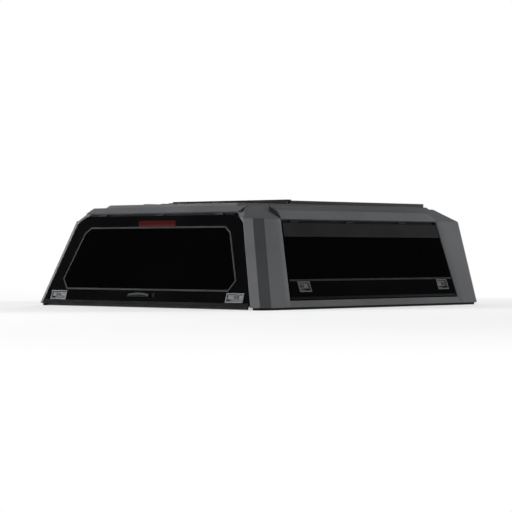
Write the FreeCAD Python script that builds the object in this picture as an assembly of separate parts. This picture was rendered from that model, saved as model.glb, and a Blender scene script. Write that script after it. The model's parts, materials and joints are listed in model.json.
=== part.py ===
import FreeCAD, Part
import math
import os
from FreeCAD import Vector

# Hard canopy for a load tray: a faceted steel shell with one rear and two side lift-up doors.
# Millimetres. +X is the right side, +Y the front, +Z up. The origin is the middle of the footprint,
# on the underside of the base seal. Heights are taken from the underside of the frame.

# Overall form
base_width = 1645.0
base_length = 1790.0
side_lean = 19.85
rear_lean = 15.35
front_lean = 5.0
seam_height = 437.0
roof_rise = 66.0
roof_inset = 70.0
roof_front_inset = 45.0
roof_rear_corner = 68.0
roof_front_corner = 174.0
rear_facet = 48.0
side_facet = 58.0
facet_turn = 30.0
front_corner_side = 57.0
front_corner_front = 40.0
member_depth = 62.0
half_width = base_width / 2
half_length = base_length / 2
margin_height = seam_height + roof_rise
centre_shift = seam_height * math.tan(math.radians(front_lean)) / 2


def from_side(gaps):
    # Right half of an outline in the rear or front face, given by its distances from the side of the base.
    return [(half_width - gap, height) for gap, height in gaps]


def from_ends(rear_gaps, front_gaps):
    # Four-cornered outline in a side face, given by its distances from the rear and front ends of the base.
    rear_edge = [(gap - half_length, height) for gap, height in rear_gaps]
    front_edge = [(half_length - gap, height) for gap, height in front_gaps]
    return [rear_edge[0], front_edge[0], front_edge[1], rear_edge[1]]


# Sheet and seals
sheet = 3.0
skin = 2.5
overlap = 0.01
seal_height = 12.0
seal_width = 30.0
seal_edge = 14.0
press_gap = 0.4
seal_strip_out = 11.0
seal_strip_in = 29.0
seal_strip_foot = 40.0
sill_seal_end_gap = 20.0
sill_seal_near = 8.0
sill_seal_far = 20.0
sill_seal_low = -4.0

# Raised roof field, its ribs, the two slotted rails and the crossbar
field_rise = 15.0
field_side_gap = 347.5
field_slope = 16.0
field_rear_gap = 14.0
field_front_gap = 10.0
rib_count = 5
rib_width = 34.0
rib_rise = 5.0
rib_end_gap = 70.0
rib_side_gap = 3.0
rail_side_gap = 392.5
rail_width = 30.0
rail_height = 19.0
rail_floor = 4.0
rail_lip = 5.0
rail_slot = 9.0
rail_channel = 18.0
rail_rear_gap = 645.0
rail_front_gap = 40.0
crossbar_length = 36.0
crossbar_height = 25.0
crossbar_foot = 145.0
crossbar_lift = 6.0
field_half_width = half_width - field_side_gap
rail_centre = half_width - rail_side_gap
rail_rear = rail_rear_gap - half_length
rail_front = half_length - rail_front_gap
rail_inner = rail_centre - rail_width / 2
crossbar_half = rail_inner - crossbar_foot
rib_pitch = 2 * (crossbar_half - rib_side_gap - rib_width / 2) / (rib_count - 1)

# Side door opening in the side face, and the eyebrow over it
side_sill = 34.0
side_opening = from_ends(
    [(232.0, side_sill), (325.0, seam_height)],
    [(203.0, side_sill), (209.0, seam_height)],
)
bevel_width = 42.0
bevel_depth = 6.0
door_gap = 6.0
flange_reach = 32.0
flange_bury = 1.0
lip_reach = 101.0
eyebrow_fold_drop = 23.0
eyebrow_inner = 45.0
top_rail_rear_lap = 3.0
top_rail_front_lap = 4.0
top_rail_front_slant = 85.0
top_rail_rear_slant = 16.0
top_rail_rear = side_opening[3][0] - top_rail_rear_lap
top_rail_front = side_opening[2][0] + top_rail_front_lap

# Rear door in the rear face: half outline, distance from the side of the base, height
rear_outline_half = from_side([(82.5, 10.0), (230.5, seam_height - 22.0), (282.5, seam_height + 20.0)])
rear_brow_gap = 15.0
rear_brow_lap = 12.0
header_lip_end_gap = 30.0
header_lip_reach = 107.0
rear_brow_height = rear_outline_half[2][1] + rear_brow_gap
rear_brow_half = rear_outline_half[2][0] + rear_brow_lap
rear_skin_depth = 2.0
side_skin_depth = 7.0
door_depth = 26.0
door_head_rise = 1.5
door_head_gap = 2.0
door_rim = 20.0
window_rim = 16.0

# Windows
side_pane_low = 134.0
side_pane_high = seam_height - 87.0
side_pane_edge = 9.0
side_pane_lap = 13.0
rear_window_half = from_side(
    [(240.5, 81.0), (202.0, 131.0), (298.5, seam_height - 69.0), (338.5, seam_height - 40.0)])
front_window_half = from_side(
    [(302.5, 110.0), (262.5, 150.0), (317.5, seam_height - 92.0), (352.5, seam_height - 65.0)])
glass = 5.0
bead_width = 9.0
bead_rise = 2.0
front_frame_width = 22.0
front_frame_rise = 4.0
front_panel_side_gap = 150.0

# Hinges along the top of each door
hinge_drop = 9.0
hinge_inset = 5.0
hinge_to_door = 6.0
knuckle_radius = 4.5
pin_radius = 2.0
pin_play = 0.08
knuckle_length = 60.0
knuckle_gap = 0.5
hinge_leaf = 3.0
side_hinge_rear_gap = 425.0
side_hinge_front_gap = 505.0
rear_hinge_gap = 402.5
side_hinge_rear = side_hinge_rear_gap - half_length
side_hinge_front = half_length - side_hinge_front_gap
side_hinges = [side_hinge_rear, (side_hinge_rear + side_hinge_front) / 2, side_hinge_front]
rear_hinges = [rear_hinge_gap - half_width, 0.0, half_width - rear_hinge_gap]
door_swing = 78.0

# Latch recesses and their paddles
side_latch_rear_gap = 368.0
side_latch_front_gap = 305.0
side_latch_height = 102.0
side_latch_size = (84.0, 46.0)
rear_latch_gap = 187.5
rear_latch_height = 47.0
rear_latch_size = (112.0, 41.0)
tray_depth = 20.0
tray_wall = 2.5
tray_rim = 3.0
tray_rim_rise = 1.5
paddle_gap = 5.0
finger_gap = 13.0
paddle_top_gap = 1.5
paddle_thickness = 3.0
paddle_depth = 4.0
paddle_pin = 1.6
paddle_knuckle = 3.2
paddle_swing = 40.0
side_latches = [side_latch_rear_gap - half_length, half_length - side_latch_front_gap]
rear_latches = [rear_latch_gap - half_width, half_width - rear_latch_gap]

# Gas struts: pins placed from the hinge axis, inward and down the face
strut_frame_in = 80.0
strut_frame_down = 50.0
strut_door_in = 40.0
strut_foot_gap = 197.0
side_strut_rear_gap = 390.0
side_strut_front_gap = 285.0
rear_strut_gap = 322.5
rear_strut_reach = 36.0
tube_radius = 9.0
tube_end_gap = 34.0
rod_radius = 4.0
rod_start = 22.0
rod_hidden = 4.0
rod_play = 0.05
rod_end_radius = 8.0
eye_width = 12.0
anchor_plate = 5.0
anchor_lap = 4.0
anchor_above = 16.0
anchor_below = 22.0
anchor_beyond = 12.0
stud_gap = 0.4
stud_radius = 6.0
stud_length = 16.0
stud_foot = 26.0
stud_tip = 10.0
stud_arm = 6.0
strut_door_down = seam_height - strut_foot_gap
side_strut_places = [side_strut_rear_gap - half_length, half_length - side_strut_front_gap]
rear_strut_places = [rear_strut_gap - half_width, half_width - rear_strut_gap]

# Rear door fittings
handle_centre = -31.0
handle_length = 160.0
handle_steps = 8
handle_root = 5.0
handle_height = 53.0
handle_tall = 22.0
handle_stand = 11.0
handle_plate = 3.0
lock_place = 75.0
lock_radius = 11.0
lock_rise = 4.0
brake_half = 134.0
brake_gap = 0.5
brake_high = seam_height - 4.0
brake_rise = 4.0
brake_taper = 2.5
brake_low = rear_window_half[3][1] + bead_width / 2 + brake_gap

# Clamp holes in the inner flanges of the bottom rails
flange_width = 45.0
flange_thickness = 5.0
flange_lap = 8.0
flange_end_gap = 295.0
clamp_end_gap = 50.0
clamp_hole = 4.5
flange_half_length = half_length - flange_end_gap
clamp_spacing = 2 * (flange_half_length - clamp_end_gap)

# How far cutting tools run past a face
cut_below = -40.0
cut_beyond = 60.0
cut_over = 1.0

pieces = {}


class Wall:
    # One leaning face of the shell: u runs along it to the right seen from outside,
    # height is measured straight up, depth goes inward at a right angle to the face.
    def __init__(self, foot, along, lean):
        angle = math.radians(lean)
        inward = Vector(-along.y, along.x, 0)
        self.foot = foot
        self.along = along
        self.up = inward * math.sin(angle) + Vector(0, 0, math.cos(angle))
        self.out = along.cross(self.up)
        self.rise = math.cos(angle)

    def at(self, u, height, depth=0.0):
        return self.foot + self.along * u + self.up * (height / self.rise) - self.out * depth

    def level(self, height, depth):
        # The point at a depth that lies level with a height on the outer face.
        return self.at(0, height + depth * self.out.z, depth)


right = Wall(Vector(half_width, -centre_shift, seal_height), Vector(0, 1, 0), side_lean)
rear = Wall(Vector(0, -half_length - centre_shift, seal_height), Vector(1, 0, 0), rear_lean)
front = Wall(Vector(0, half_length - centre_shift, seal_height), Vector(-1, 0, 0), -front_lean)


def polygon_face(points):
    return Part.Face(Part.makePolygon(points + points[:1]))


def solid_between(lower, upper):
    # Closed solid with flat sides between two outlines of parallel edges, both counter-clockwise.
    faces = [polygon_face(lower[::-1]), polygon_face(upper)]
    for here in range(len(lower)):
        after = (here + 1) % len(lower)
        faces.append(polygon_face([lower[here], lower[after], upper[after], upper[here]]))
    shell = Part.makeShell(faces)
    shell.sewShape()
    return Part.makeSolid(shell)


def inset(points, distance):
    # The outline moved inward by a distance; a negative distance moves it outward.
    lines = []
    for here, after in zip(points, points[1:] + points[:1]):
        along = (Vector(*after) - Vector(*here)).normalize()
        lines.append((Vector(*here) + Vector(-along.y, along.x, 0) * distance, along))
    moved = []
    for (first, one), (second, two) in zip(lines[-1:] + lines[:-1], lines):
        reach = (second - first).cross(two).z / one.cross(two).z
        corner = first + one * reach
        moved.append((corner.x, corner.y))
    return moved


def plan(height, margin=0.0):
    # Outer plan outline of the shell at a height, counter-clockwise from the rear right.
    half = half_width - height * math.tan(math.radians(side_lean))
    back = -half_length - centre_shift + height * math.tan(math.radians(rear_lean))
    nose = half_length - centre_shift + height * math.tan(math.radians(front_lean))
    turn = math.radians(facet_turn)
    middle = (half - side_facet * math.sin(turn), back + rear_facet * math.sin(turn))
    corners = [
        (middle[0] - rear_facet * math.cos(turn), back),
        middle,
        (half, middle[1] + side_facet * math.cos(turn)),
        (half, nose - front_corner_side),
        (half - front_corner_front, nose),
    ]
    outline = corners + [(-x, y) for x, y in reversed(corners)]
    if margin:
        outline = inset(outline, margin)
    return outline


def roof_foot():
    # The shell's outline at the seam, with each rear corner cut straight across.
    outline = plan(seam_height)
    return [point for index, point in enumerate(outline) if index not in (1, len(outline) - 2)]


def roof_margin():
    # Flat top of the chamfered roof: its corner cuts run parallel to those of the foot.
    foot = roof_foot()
    rear_one, rear_two, front_one, front_two = (Vector(*point) for point in foot[:4])
    half = rear_two.x - roof_inset
    back = rear_one.y + roof_inset
    nose = front_two.y - roof_front_inset
    rear_cut = (rear_two - rear_one).normalize() * roof_rear_corner
    front_cut = (front_two - front_one).normalize() * roof_front_corner
    corners = [
        (half - rear_cut.x, back),
        (half, back + rear_cut.y),
        (half, nose - front_cut.y),
        (half + front_cut.x, nose),
    ]
    return corners + [(-x, y) for x, y in reversed(corners)]


def lift(outline, height):
    return [Vector(x, y, seal_height + height) for x, y in outline]


def plate(wall, outline, near, far):
    # A slab parallel to a leaning face, from one depth to another.
    points = [wall.at(u, height, near) for u, height in outline]
    return polygon_face(points).extrude(wall.out * (near - far))


def tapered_plate(wall, outer, near, inner, far):
    lower = [wall.at(u, height, far) for u, height in inner]
    upper = [wall.at(u, height, near) for u, height in outer]
    return solid_between(lower, upper)


def rectangle(low_u, high_u, middle, tall):
    # Outline between two places along a face, level, as tall as given round its middle height.
    low = middle - tall / 2
    high = middle + tall / 2
    return [(low_u, low), (high_u, low), (high_u, high), (low_u, high)]


def both(half):
    # A closed outline from its right half, bottom to top, counter-clockwise seen from outside.
    return half + [(-u, height) for u, height in reversed(half)]


def mirrored(shape):
    return shape.mirror(Vector(0, 0, 0), Vector(1, 0, 0))


def box(low, high):
    size = high - low
    return Part.makeBox(size.x, size.y, size.z, low)


def join(shapes):
    whole = shapes[0].multiFuse(shapes[1:]) if len(shapes) > 1 else shapes[0]
    return whole.removeSplitter()


def rod_between(start, end, radius):
    return Part.makeCylinder(radius, (end - start).Length, start, end - start)


def keep(name, shape):
    pieces[name] = shape


def slice_outline(outline, low, high):
    # The part of a four-cornered outline between two heights.
    rear_low, front_low, front_high, rear_high = outline

    def on_edge(foot, head, height):
        share = (height - foot[1]) / (head[1] - foot[1])
        return foot[0] + (head[0] - foot[0]) * share, height

    return [
        on_edge(rear_low, rear_high, low),
        on_edge(front_low, front_high, low),
        on_edge(front_low, front_high, high),
        on_edge(rear_low, rear_high, high),
    ]


rear_door_outline = both(rear_outline_half)
side_face = inset(side_opening, side_pane_edge)
side_pane = slice_outline(side_face, side_pane_low, side_pane_high)
side_window = inset(side_pane, side_pane_lap)


def rear_pocket_outline():
    # The rear door's outline with its gap, carried on past the bottom and up to the brow.
    (foot_u, foot_height), (side_u, side_height), (top_u, top_height) = rear_outline_half
    slope = (side_u - foot_u) / (side_height - foot_height)
    bottom_u = foot_u + slope * (cut_below - foot_height)
    corner_slope = (top_u - side_u) / (top_height - side_height)
    brow_u = top_u + corner_slope * (rear_brow_height - top_height)
    half = [(bottom_u, cut_below), (side_u, side_height), (brow_u, rear_brow_height)]
    wide = inset(both(half), -door_gap)
    return both([(wide[0][0], cut_below), wide[1], (wide[2][0] + door_gap, rear_brow_height)])


rear_pocket = rear_pocket_outline()
rear_pocket_depth = rear_skin_depth + door_depth + door_gap
side_pocket_depth = side_skin_depth + door_depth + door_gap
inner_depth = member_depth * 2


def door_cuts(wall, opening, pocket_depth, open_bottom):
    # The recess that takes a closed door, and the smaller way through behind it.
    way = inset(opening, flange_reach)
    if open_bottom:
        half = way[:len(way) // 2]
        slope = (half[1][0] - half[0][0]) / (half[1][1] - half[0][1])
        foot = (half[0][0] + slope * (cut_below - half[0][1]), cut_below)
        way = both([foot] + half[1:])
    recess = plate(wall, opening, -cut_beyond, pocket_depth)
    passage = plate(wall, way, pocket_depth - flange_bury, inner_depth)
    return recess, passage


def side_top_rail():
    # Eyebrow over the side door: carries on the side face to a fold, then turns in to the roof.
    margin = margin_height
    fold = margin - eyebrow_fold_drop
    outer = right.at(0, seam_height)
    crease = right.at(0, fold)
    edge = Vector(*lift([(right.at(0, seam_height).x - roof_inset, 0)], margin)[0])
    inner_x = edge.x - eyebrow_inner
    profile = [
        Vector(outer.x, 0, outer.z),
        Vector(crease.x, 0, crease.z),
        Vector(edge.x, 0, edge.z),
        Vector(edge.x - 2 * sheet, 0, edge.z),
        Vector(edge.x - 2 * sheet, 0, edge.z - sheet),
        Vector(inner_x, 0, edge.z - sheet),
        Vector(inner_x, 0, outer.z),
    ]
    start = top_rail_rear - top_rail_rear_slant - centre_shift
    length = top_rail_front - top_rail_rear + top_rail_rear_slant
    bar = polygon_face(profile).extrude(Vector(0, length, 0))
    bar.translate(Vector(0, start, 0))
    top = margin + cut_beyond
    low = seam_height - cut_beyond
    rise = margin - seam_height
    rear_step = top_rail_rear_slant / rise
    front_step = top_rail_front_slant / rise
    side_view = [
        (top_rail_rear - rear_step * (low - seam_height), low),
        (top_rail_front - front_step * (low - seam_height), low),
        (top_rail_front - front_step * (top - seam_height), top),
        (top_rail_rear - rear_step * (top - seam_height), top),
    ]
    points = [Vector(base_width, y - centre_shift, z + seal_height) for y, z in side_view]
    cutter = polygon_face(points).extrude(Vector(-base_width, 0, 0))
    return bar.common(cutter)


def rear_brow():
    # Strip over the rear door: starts in the rear face above the door gap and turns in to the roof.
    low = rear.at(0, rear_brow_height)
    edge_y = rear.at(0, seam_height).y + roof_inset
    edge_z = seal_height + margin_height
    back = rear.level(seam_height, rear_pocket_depth)
    profile = [
        Vector(0, low.y, low.z),
        Vector(0, edge_y, edge_z),
        Vector(0, edge_y + 2 * sheet, edge_z),
        Vector(0, edge_y + 2 * sheet, edge_z - sheet),
        Vector(0, edge_y + eyebrow_inner, edge_z - sheet),
        Vector(0, edge_y + eyebrow_inner, back.z),
        Vector(0, back.y, back.z),
        Vector(0, rear.level(rear_brow_height, rear_pocket_depth).y, low.z),
    ]
    bar = polygon_face(profile).extrude(Vector(2 * rear_brow_half, 0, 0))
    bar.translate(Vector(-rear_brow_half, 0, 0))
    return bar


def make_shell():
    outer = solid_between(lift(plan(0), 0), lift(plan(seam_height), seam_height))
    hollow = solid_between(
        lift(plan(-cut_over, member_depth), -cut_over),
        lift(plan(seam_height + cut_over, member_depth), seam_height + cut_over),
    )
    ring = outer.cut(hollow)
    side_recess, side_passage = door_cuts(right, side_opening, side_pocket_depth, False)
    bevel = tapered_plate(right, inset(side_opening, -bevel_width), 0.0, side_opening, bevel_depth)
    rear_recess, rear_passage = door_cuts(rear, rear_pocket, rear_pocket_depth, True)
    side_cuts = side_recess.multiFuse([side_passage, bevel])
    ring = ring.cut([side_cuts, mirrored(side_cuts), rear_recess, rear_passage])

    # Lip behind the top of the side door, kept with the top rail
    seam_top = seal_height + seam_height
    lip_box = box(
        Vector(rail_inner, top_rail_rear - centre_shift, seam_top - lip_reach),
        Vector(base_width, top_rail_front - centre_shift, seam_top + cut_over),
    )
    rail_box = box(
        Vector(rail_inner, side_opening[0][0] - centre_shift, 0),
        Vector(base_width, side_opening[1][0] - centre_shift, seal_height + side_sill + flange_reach),
    )
    header_half = rear_brow_half - header_lip_end_gap
    header_box = box(
        Vector(-header_half, -base_length, seam_top - header_lip_reach),
        Vector(header_half, -half_length / 2, seam_top + cut_over),
    )
    half_top = right.at(0, seam_height).x
    panel_outline = [
        (half_width - front_panel_side_gap, cut_below),
        (half_top - front_panel_side_gap, seam_height + cut_beyond),
    ]
    panel_cutter = plate(front, both(panel_outline), -cut_beyond, inner_depth)

    rail = side_top_rail()
    brow = rear_brow()
    side_lip = ring.common(lip_box)
    bottom = ring.common(rail_box)
    header_lip = ring.common(header_box)
    panel = ring.common(panel_cutter)
    posts = ring.cut([lip_box, mirrored(lip_box), rail_box, mirrored(rail_box), header_box, panel_cutter])
    for post in posts.Solids:
        side = "right" if post.CenterOfMass.x > 0 else "left"
        end = "front" if post.CenterOfMass.y > 0 else "rear"
        keep(f"{side}_{end}_post", post)

    keep("right_top_rail", join([rail, side_lip]))
    keep("left_top_rail", mirrored(pieces["right_top_rail"]))
    keep("rear_header", join([brow, header_lip]))

    inner_x = half_width - member_depth
    flange = box(
        Vector(inner_x - flange_width, -flange_half_length - centre_shift, seal_height),
        Vector(inner_x + flange_lap, flange_half_length - centre_shift, seal_height + flange_thickness),
    )
    bottom = join([bottom, flange])
    hole_x = inner_x - flange_width / 2
    for hole_y in (-clamp_spacing / 2 - centre_shift, clamp_spacing / 2 - centre_shift):
        start = Vector(hole_x, hole_y, seal_height - cut_over)
        hole = Part.makeCylinder(clamp_hole, flange_thickness + 2 * cut_over, start)
        bottom = bottom.cut(hole)
    keep("right_bottom_rail", bottom)
    keep("left_bottom_rail", mirrored(bottom))

    window = both(front_window_half)
    panel = panel.cut(plate(front, window, -cut_beyond, inner_depth))
    keep("front_panel", panel)
    frame = plate(front, inset(window, -front_frame_width / 2), -front_frame_rise, 0)
    frame = frame.cut(plate(front, inset(window, front_frame_width / 2), -cut_beyond, inner_depth))
    keep("front_window_frame", frame)
    keep("front_window_glass", plate(front, window, 0, glass))
    return rail, brow, rear_recess


def make_roof(rail, brow, rear_recess):
    outer = solid_between(lift(roof_foot(), seam_height), lift(roof_margin(), margin_height))
    under = solid_between(
        lift(inset(roof_foot(), 2 * sheet), seam_height - overlap),
        lift(inset(roof_margin(), sheet), margin_height - sheet),
    )
    back = roof_margin()[0][1]
    nose = roof_margin()[3][1]

    def field(shrink, low, high):
        half = field_half_width - shrink
        rear_end = back + field_rear_gap + shrink
        front_end = nose - field_front_gap - shrink
        foot = rectangle(-half, half, (rear_end + front_end) / 2, front_end - rear_end)
        top = inset(foot, field_slope)
        return solid_between(lift(foot, low), lift(top, high))

    top_height = margin_height + field_rise
    raised = field(0, margin_height - overlap, top_height)
    pressed = field(sheet, margin_height - sheet - overlap, top_height - sheet)
    roof = outer.fuse(raised).cut([under, pressed])
    ribs = []
    for number in range(rib_count):
        centre = (number - (rib_count - 1) / 2) * rib_pitch
        low_y = back + field_rear_gap + rib_end_gap
        high_y = nose - field_front_gap - rib_end_gap
        half = rib_width / 2
        foot = rectangle(centre - half, centre + half, (low_y + high_y) / 2, high_y - low_y)
        crown = lift(inset(foot, rib_rise), top_height + rib_rise)
        ribs.append(solid_between(lift(foot, top_height - overlap), crown))
    roof = roof.multiFuse(ribs)
    roof = roof.cut([rail, mirrored(rail), brow, rear_recess])
    solids = sorted(roof.Solids, key=lambda solid: -solid.Volume)
    keep("roof_panel", solids[0])

    top = seal_height + top_height
    shelf = top + rail_height
    profile = [
        (-rail_width / 2, top), (rail_width / 2, top), (rail_width / 2, shelf), (rail_slot / 2, shelf),
        (rail_slot / 2, shelf - rail_lip), (rail_channel / 2, shelf - rail_lip),
        (rail_channel / 2, top + rail_floor), (-rail_channel / 2, top + rail_floor),
        (-rail_channel / 2, shelf - rail_lip), (-rail_slot / 2, shelf - rail_lip),
        (-rail_slot / 2, shelf), (-rail_width / 2, shelf),
    ]
    points = [Vector(rail_centre + x, rail_rear - centre_shift, z) for x, z in profile]
    slotted = polygon_face(points).extrude(Vector(0, rail_front - rail_rear, 0))
    keep("roof_rails", Part.makeCompound([slotted, mirrored(slotted)]))
    bar_rear = rail_rear - centre_shift
    bar_front = bar_rear + crossbar_length
    bar_top = top + crossbar_height
    bar_low = Vector(-crossbar_half, bar_rear, top + crossbar_lift)
    keep("roof_crossbar", box(bar_low, Vector(crossbar_half, bar_front, bar_top)))
    foot = box(Vector(crossbar_half, bar_rear, top), Vector(rail_inner, bar_front, bar_top))
    keep("crossbar_feet", Part.makeCompound([foot, mirrored(foot)]))


def make_base_seal():
    band_outer = plan(0, seal_edge)
    band_inner = plan(0, seal_edge + seal_width)
    band = polygon_face([Vector(x, y, 0) for x, y in band_outer]).extrude(Vector(0, 0, seal_height))
    gap = polygon_face([Vector(x, y, -cut_over) for x, y in band_inner])
    gap = gap.extrude(Vector(0, 0, seal_height + 2 * cut_over))
    half = rear_outline_half[0][0] + 2 * door_gap
    rear_end = box(
        Vector(-half, -base_length, -cut_over),
        Vector(half, -half_length / 2, seal_height + cut_over),
    )
    keep("base_seal", band.cut([gap, rear_end]))


def door_seal(wall, opening, pocket_depth, open_bottom):
    # Rubber strip on the lip behind a door, just clear of the closed door.
    outer = inset(opening, seal_strip_out)
    inner = inset(opening, seal_strip_in)
    strip = plate(wall, outer, pocket_depth - door_gap + press_gap, pocket_depth)
    strip = strip.cut(plate(wall, inner, -cut_beyond, inner_depth))
    if open_bottom:
        below = [(-base_width, 2 * cut_below), (base_width, 2 * cut_below),
                 (base_width, seal_strip_foot), (-base_width, seal_strip_foot)]
        strip = strip.cut(plate(wall, below, -cut_beyond, inner_depth))
    return strip


def hinge_axis(wall, brow_height, skin_depth):
    # Height and depth of a door's hinge axis, under its brow and inside the door's skin.
    return brow_height - hinge_drop, skin_depth + hinge_inset


def knuckles(wall, places, axis_height, axis_depth, pocket_depth, door_top):
    fixed = []
    moving = []
    third = knuckle_length / 3
    for place in places:
        left = wall.at(place - knuckle_length / 2, axis_height, axis_depth)
        pin = Part.makeCylinder(pin_radius, knuckle_length, left, wall.along)
        middle_start = left + wall.along * (third + knuckle_gap)
        middle = Part.makeCylinder(knuckle_radius, third - 2 * knuckle_gap, middle_start, wall.along)
        low_u = place - third / 2 + knuckle_gap
        high_u = place + third / 2 - knuckle_gap
        leaf_outline = rectangle(low_u, high_u, axis_height + hinge_leaf / 2, hinge_leaf)
        leaf = plate(wall, leaf_outline, axis_depth, pocket_depth)
        fixed.append(join([pin, middle, leaf]))
        for start in (place - knuckle_length / 2, place + third / 2):
            low = wall.at(start, axis_height, axis_depth)
            barrel = Part.makeCylinder(knuckle_radius, third, low, wall.along)
            web_outline = [(start, door_top), (start + third, door_top),
                           (start + third, axis_height), (start, axis_height)]
            half = hinge_leaf / 2
            web = plate(wall, web_outline, axis_depth - half, axis_depth + half)
            bore_start = low - wall.along * cut_over
            bore = Part.makeCylinder(pin_radius + pin_play, third + 2 * cut_over, bore_start, wall.along)
            moving.append(join([barrel, web]).cut(bore))
    return fixed, moving


def hinge_point(wall, u, axis_height, axis_depth, inward, down):
    return wall.at(u, axis_height, axis_depth) - wall.out * inward - wall.up * down


def make_struts(wall, places, jambs, axis_height, axis_depth, inner_face, door_inner, window):
    tubes = []
    rods = []
    anchors = []
    studs = []
    for place, jamb in zip(places, jambs):
        outward = 1 if jamb > place else -1
        frame_pin = hinge_point(wall, place, axis_height, axis_depth, strut_frame_in, strut_frame_down)
        door_pin = hinge_point(wall, place, axis_height, axis_depth, strut_door_in, strut_door_down)
        line = (door_pin - frame_pin).normalize()
        tube_length = (door_pin - frame_pin).Length - tube_end_gap
        half = wall.along * (eye_width / 2)
        eye = Part.makeCylinder(tube_radius, eye_width, frame_pin - half, wall.along)
        tube_start = tube_radius / 2
        tube = Part.makeCylinder(tube_radius, tube_length - tube_start, frame_pin + line * tube_start, line)
        bore_radius = rod_radius + rod_play
        bore_start = frame_pin - half - wall.along * cut_over
        eye_bore = Part.makeCylinder(bore_radius, eye_width + 2 * cut_over, bore_start, wall.along)
        hollow_start = frame_pin + line * (rod_start - rod_hidden)
        tube_bore = Part.makeCylinder(bore_radius, tube_length, hollow_start, line)
        tubes.append(join([eye, tube]).cut([eye_bore, tube_bore]))

        rod = rod_between(frame_pin + line * rod_start, door_pin, rod_radius)
        end = Part.makeCylinder(rod_end_radius, eye_width, door_pin - half, wall.along)
        rods.append(join([rod, end]))

        step = wall.along * outward
        pin_start = frame_pin - step * (eye_width / 2)
        pin_length = abs(jamb - place) + eye_width / 2
        pin = Part.makeCylinder(rod_radius, pin_length, pin_start, step)
        plate_high = axis_height - (strut_frame_down - anchor_above) * wall.rise
        plate_low = axis_height - (strut_frame_down + anchor_below) * wall.rise
        low_u, high_u = sorted((jamb, jamb + outward * anchor_plate))
        ear_outline = [(low_u, plate_low), (high_u, plate_low), (high_u, plate_high), (low_u, plate_high)]
        ear = plate(wall, ear_outline, inner_face, axis_depth + strut_frame_in + anchor_beyond)
        anchors.append(join([pin, ear]))

        stud_start = door_pin + step * (eye_width / 2 + stud_gap)
        stud = Part.makeCylinder(stud_radius, stud_length, stud_start, step)
        centre = place + outward * (eye_width / 2 + stud_gap + stud_length / 2)
        height = axis_height - strut_door_down * wall.rise
        reach = stud_length / 2
        foot_outline = rectangle(centre - reach, centre + reach, height, stud_foot)
        tip_outline = rectangle(centre - reach, centre + reach, height, stud_tip)
        foot = tapered_plate(wall, foot_outline, door_inner, tip_outline, axis_depth + strut_door_in)
        # Arm behind the glass, from the stud's foot to the side of the window frame
        ends = sorted((centre - outward * reach, outward * half_length))
        arm = plate(wall, rectangle(*ends, height, stud_foot), door_inner - stud_arm, door_inner)
        arm = arm.common(plate(wall, window, door_inner - stud_arm, door_inner))
        studs.append(join([stud, foot, arm]))
    return tubes, rods, anchors, studs


def latch_outline(place, height, size):
    return rectangle(place - size[0] / 2, place + size[0] / 2, height, size[1])


def make_latch(wall, place, height, size, skin_depth):
    hole = latch_outline(place, height, size)
    cup = plate(wall, hole, skin_depth - tray_rim_rise, skin_depth + tray_depth)
    cavity = inset(hole, tray_wall)
    rim = plate(wall, inset(hole, -tray_rim), skin_depth - tray_rim_rise, skin_depth)
    tray = join([cup, rim]).cut(plate(wall, cavity, -cut_beyond, skin_depth + tray_depth - tray_wall))
    low_u = cavity[0][0] + paddle_gap
    high_u = cavity[1][0] - paddle_gap
    low = cavity[0][1] + finger_gap
    pin_height = cavity[2][1] - (paddle_knuckle + paddle_top_gap)
    pin_depth = skin_depth + paddle_depth + paddle_knuckle
    pin = Part.makeCylinder(
        paddle_pin, cavity[1][0] - cavity[0][0], wall.at(cavity[0][0], pin_height, pin_depth), wall.along)
    tray = join([tray, pin])
    barrel_start = wall.at(low_u, pin_height, pin_depth)
    barrel = Part.makeCylinder(paddle_knuckle, high_u - low_u, barrel_start, wall.along)
    blade_outline = rectangle(low_u, high_u, (low + pin_height) / 2, pin_height - low)
    blade_depth = pin_depth - paddle_knuckle
    blade = plate(wall, blade_outline, blade_depth, blade_depth + paddle_thickness)
    lip_outline = rectangle(low_u, high_u, low + paddle_thickness / 2, paddle_thickness)
    lip = plate(wall, lip_outline, blade_depth, pin_depth + paddle_knuckle)
    bore = Part.makeCylinder(
        paddle_pin + pin_play, high_u - low_u + 2 * cut_over,
        wall.at(low_u - cut_over, pin_height, pin_depth), wall.along)
    paddle = join([barrel, blade, lip]).cut(bore)
    return hole, tray, paddle


def door_panel(wall, outline, window, skin_depth, holes):
    # Folded pan: a thin skin, a full-depth rim, and a full-depth frame round the window.
    inner_face = skin_depth + door_depth
    slab = plate(wall, outline, skin_depth, inner_face)
    hollow = plate(wall, inset(outline, door_rim), skin_depth + skin, inner_face + cut_over)
    hollow = hollow.cut(plate(wall, inset(window, -window_rim), -cut_beyond, inner_depth))
    panel = slab.cut([hollow, plate(wall, window, -cut_beyond, inner_depth)])
    for hole in holes:
        panel = panel.cut(plate(wall, hole, -cut_beyond, skin_depth + tray_depth))
    return panel


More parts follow.
